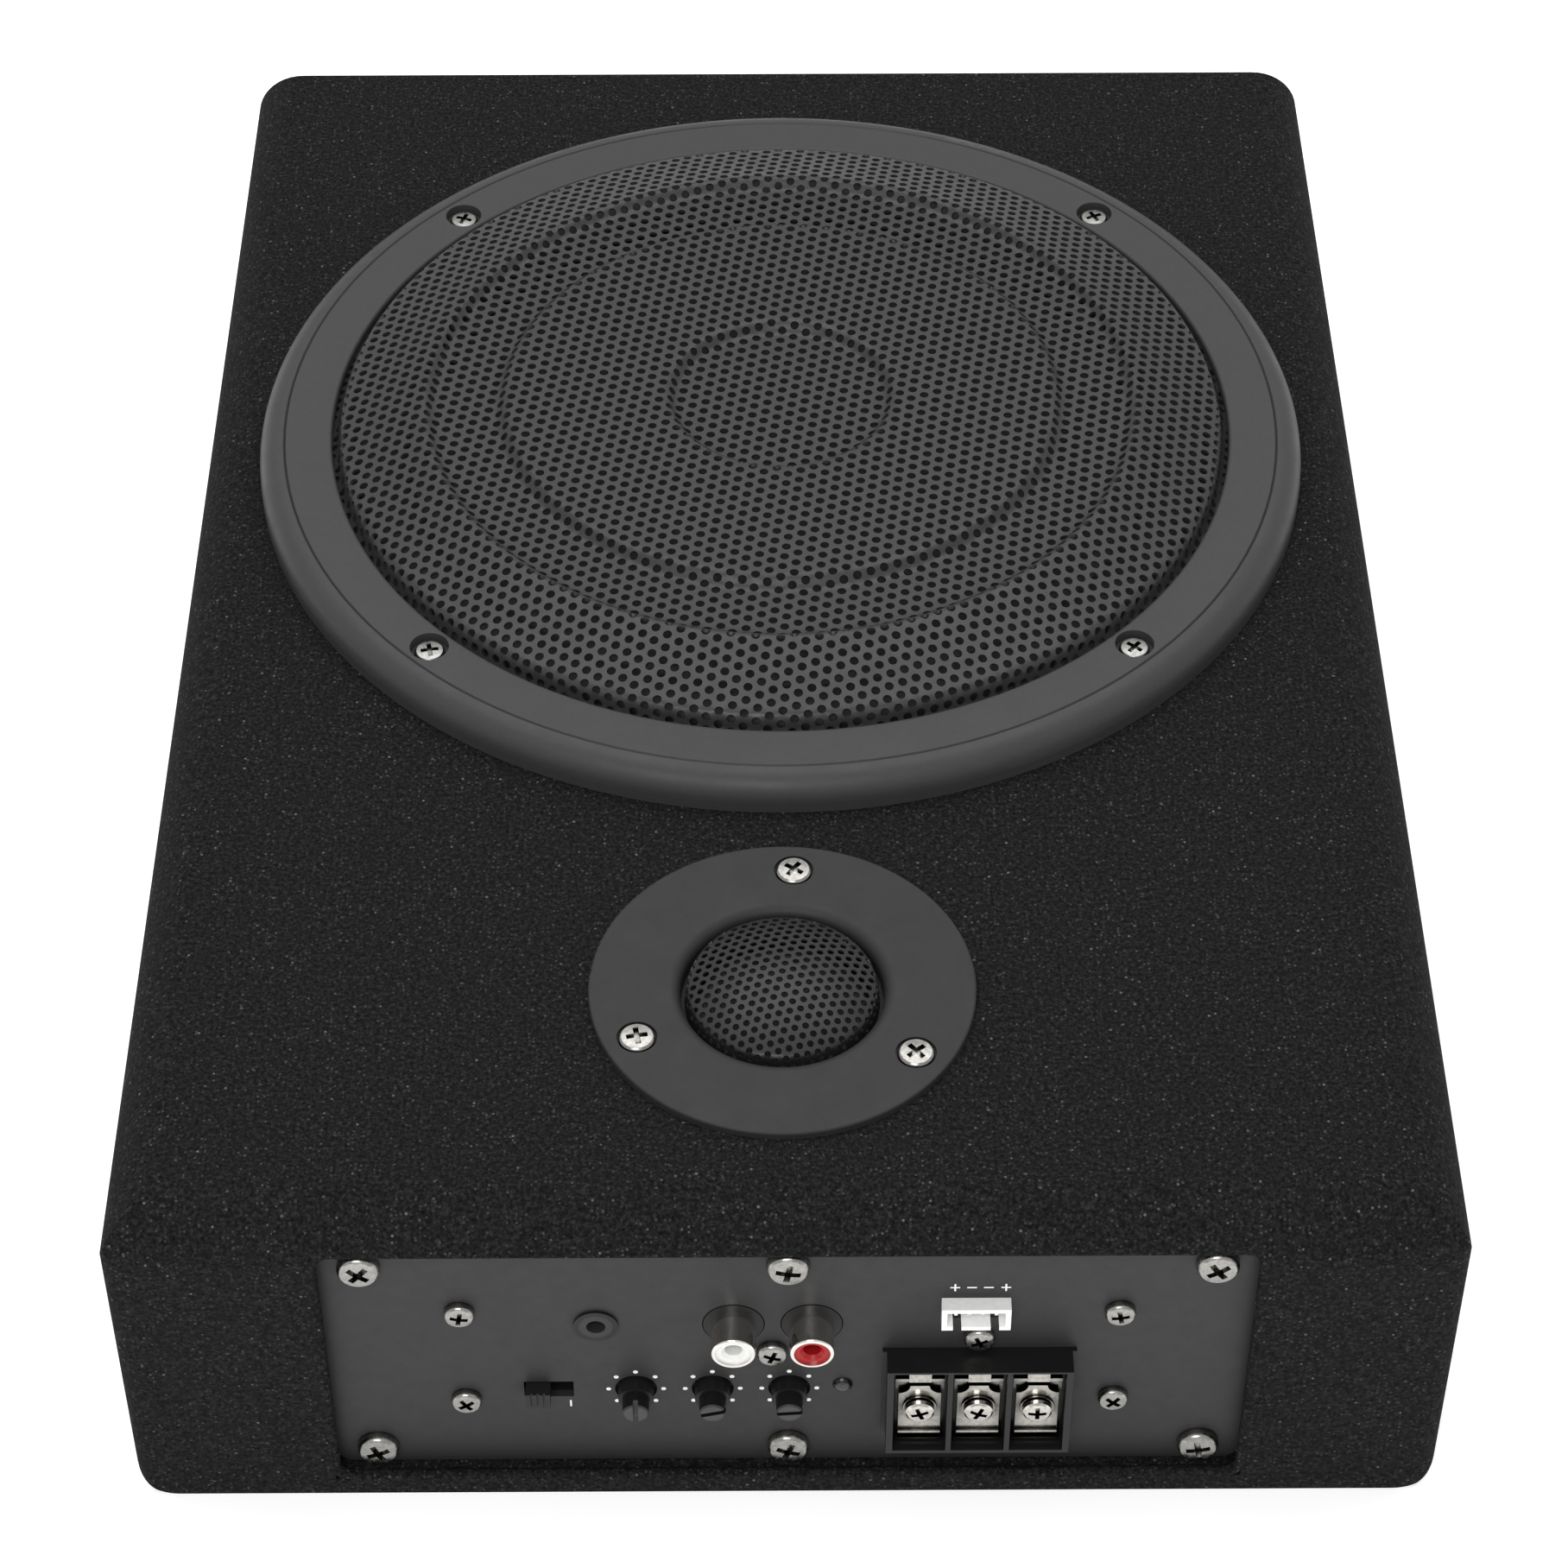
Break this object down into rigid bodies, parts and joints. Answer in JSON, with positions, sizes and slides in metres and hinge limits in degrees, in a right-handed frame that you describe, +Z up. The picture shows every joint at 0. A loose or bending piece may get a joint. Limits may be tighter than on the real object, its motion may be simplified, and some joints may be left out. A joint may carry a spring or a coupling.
{
  "type": "powered car subwoofer",
  "caption": "Flat carpeted under-seat speaker box: woofer under a domed round mesh grille, small dome tweeter, and an amplifier panel with sockets and level controls let into the front.",
  "frame": {"origin": "centre of the box's underside, on the surface it stands on", "axes": "+X to the right seen from the control panel, +Y from the control panel to the back, +Z up out of the speakers"},
  "size_m": [0.25, 0.3569, 0.0948],
  "materials": {
    "mdf": "raw fibreboard",
    "felt_wrap": "short-pile needle felt",
    "felt_bottom": "short-pile needle felt",
    "ring_plastic": "fine satin texture",
    "mesh_paint": "satin powder coat, perforated",
    "screw_grille": "dull zinc plate",
    "screw_tweeter": "dull zinc plate",
    "screw_panel": "nickel plate",
    "screw_module": "nickel plate",
    "basket_paint": "satin black",
    "foam": "foam gasket",
    "surround_rubber": "satin",
    "spider_cloth": "resin-treated cloth",
    "cone_paper": "pressed paper",
    "cap_paper": "pressed paper",
    "former_foil": "bright foil",
    "copper_wire": "enamelled copper winding",
    "top_plate_steel": "zinc plated",
    "ferrite": "matt ferrite",
    "yoke_steel": "zinc plated",
    "strip_board": "phenolic board",
    "tab_brass": "tinned brass",
    "flange_plastic": "satin",
    "spacer_plastic": "matt black",
    "dome_mesh_paint": "satin black, perforated",
    "dome_silk": "coated silk",
    "tweeter_roll": "coated cloth roll",
    "tweeter_wire": "enamelled copper winding",
    "tweeter_plate_steel": "zinc plated",
    "tweeter_ferrite": "matt ferrite",
    "tweeter_yoke_steel": "zinc plated",
    "panel_paint": "satin dark grey",
    "rca_body_plastic": "black",
    "rca_metal": "nickel plate",
    "insert_white": "white",
    "insert_red": "red",
    "jack_plastic": "dark grey",
    "switch_case_plastic": "black",
    "lever_plastic": "black",
    "shaft_left_plastic": "black",
    "shaft_middle_plastic": "black",
    "shaft_right_plastic": "black",
    "pot_plastic": "black",
    "led_lens": "smoked clear lens, unlit",
    "pin_metal": "tinned",
    "header_nylon": "white nylon",
    "terminal_screw_metal": "nickel plated",
    "contact_metal": "nickel plated",
    "clamp_metal": "nickel plated",
    "block_plastic": "black, moulded",
    "control_board_laminate": "green solder mask",
    "main_board_laminate": "green solder mask",
    "sink_aluminium": "extruded",
    "transformer_wire": "enamelled copper winding",
    "can_sleeve": "sleeved aluminium can",
    "transistor_plastic": "epoxy package"
  },
  "bodies": {
    "enclosure": {"front_board": "mdf", "baffle_board": "mdf", "bottom_board": "mdf", "side_boards": "mdf", "back_board": "mdf", "carpet_wrap": "felt_wrap", "carpet_bottom": "felt_bottom", "grille_ring": "ring_plastic", "grille_mesh": "mesh_paint", "grille_screws": "screw_grille", "woofer_basket": "basket_paint", "woofer_gasket": "foam", "woofer_surround": "surround_rubber", "woofer_spider": "spider_cloth", "woofer_top_plate": "top_plate_steel", "woofer_magnet": "ferrite", "woofer_yoke": "yoke_steel", "woofer_terminal_strip": "strip_board", "woofer_tabs": "tab_brass", "tweeter_flange": "flange_plastic", "tweeter_spacer": "spacer_plastic", "tweeter_mesh": "dome_mesh_paint", "tweeter_surround": "tweeter_roll", "tweeter_top_plate": "tweeter_plate_steel", "tweeter_magnet": "tweeter_ferrite", "tweeter_yoke": "tweeter_yoke_steel", "tweeter_screws": "screw_tweeter", "amp_panel": "panel_paint", "panel_screws": "screw_panel", "module_screws": "screw_module", "rca_housing": "rca_body_plastic", "rca_barrels": "rca_metal", "rca_insert_left": "insert_white", "rca_insert_right": "insert_red", "aux_jack": "jack_plastic", "mode_switch_case": "switch_case_plastic", "level_pots": "pot_plastic", "power_led": "led_lens", "header_pins": "pin_metal", "input_header": "header_nylon", "terminal_screws": "terminal_screw_metal", "terminal_contacts": "contact_metal", "terminal_clamps": "clamp_metal", "terminal_block": "block_plastic", "control_board": "control_board_laminate", "main_board": "main_board_laminate", "heat_sinks": "sink_aluminium", "transformer": "transformer_wire", "filter_capacitors": "can_sleeve", "power_transistors": "transistor_plastic"},
    "cone_assembly": {"woofer_cone": "cone_paper", "woofer_dust_cap": "cap_paper", "voice_coil_former": "former_foil", "voice_coil": "copper_wire"},
    "tweeter_diaphragm": {"tweeter_dome": "dome_silk", "tweeter_coil": "tweeter_wire"},
    "level_knob_left": {"knob_left": "shaft_left_plastic"},
    "level_knob_middle": {"knob_middle": "shaft_middle_plastic"},
    "level_knob_right": {"knob_right": "shaft_right_plastic"},
    "mode_lever": {"mode_switch_lever": "lever_plastic"}
  },
  "joints": [
    {"name": "cone_stroke", "type": "slide", "parent": "enclosure", "child": "cone_assembly", "axis": [0, 0, 1], "range_m": [-0.004, 0.004], "stiffness_N_per_m": 2500, "deforming": ["woofer_surround", "woofer_spider"]},
    {"name": "tweeter_stroke", "type": "slide", "parent": "enclosure", "child": "tweeter_diaphragm", "axis": [0, 0, 1], "range_m": [-0.0003, 0.0003], "stiffness_N_per_m": 1000, "deforming": ["tweeter_surround"]},
    {"name": "level_knob_left_turn", "type": "hinge", "parent": "enclosure", "child": "level_knob_left", "pos_m": [-0.0284, -0.1727, 0.0271], "axis": [0, -1, 0], "range_deg": [-140, 140]},
    {"name": "level_knob_middle_turn", "type": "hinge", "parent": "enclosure", "child": "level_knob_middle", "pos_m": [-0.0139, -0.1727, 0.0271], "axis": [0, -1, 0], "range_deg": [-50, 230]},
    {"name": "level_knob_right_turn", "type": "hinge", "parent": "enclosure", "child": "level_knob_right", "pos_m": [0.0006, -0.1727, 0.0271], "axis": [0, -1, 0], "range_deg": [-50, 230]},
    {"name": "mode_slide", "type": "slide", "parent": "enclosure", "child": "mode_lever", "axis": [1, 0, 0], "range_m": [0, 0.004]}
  ]
}
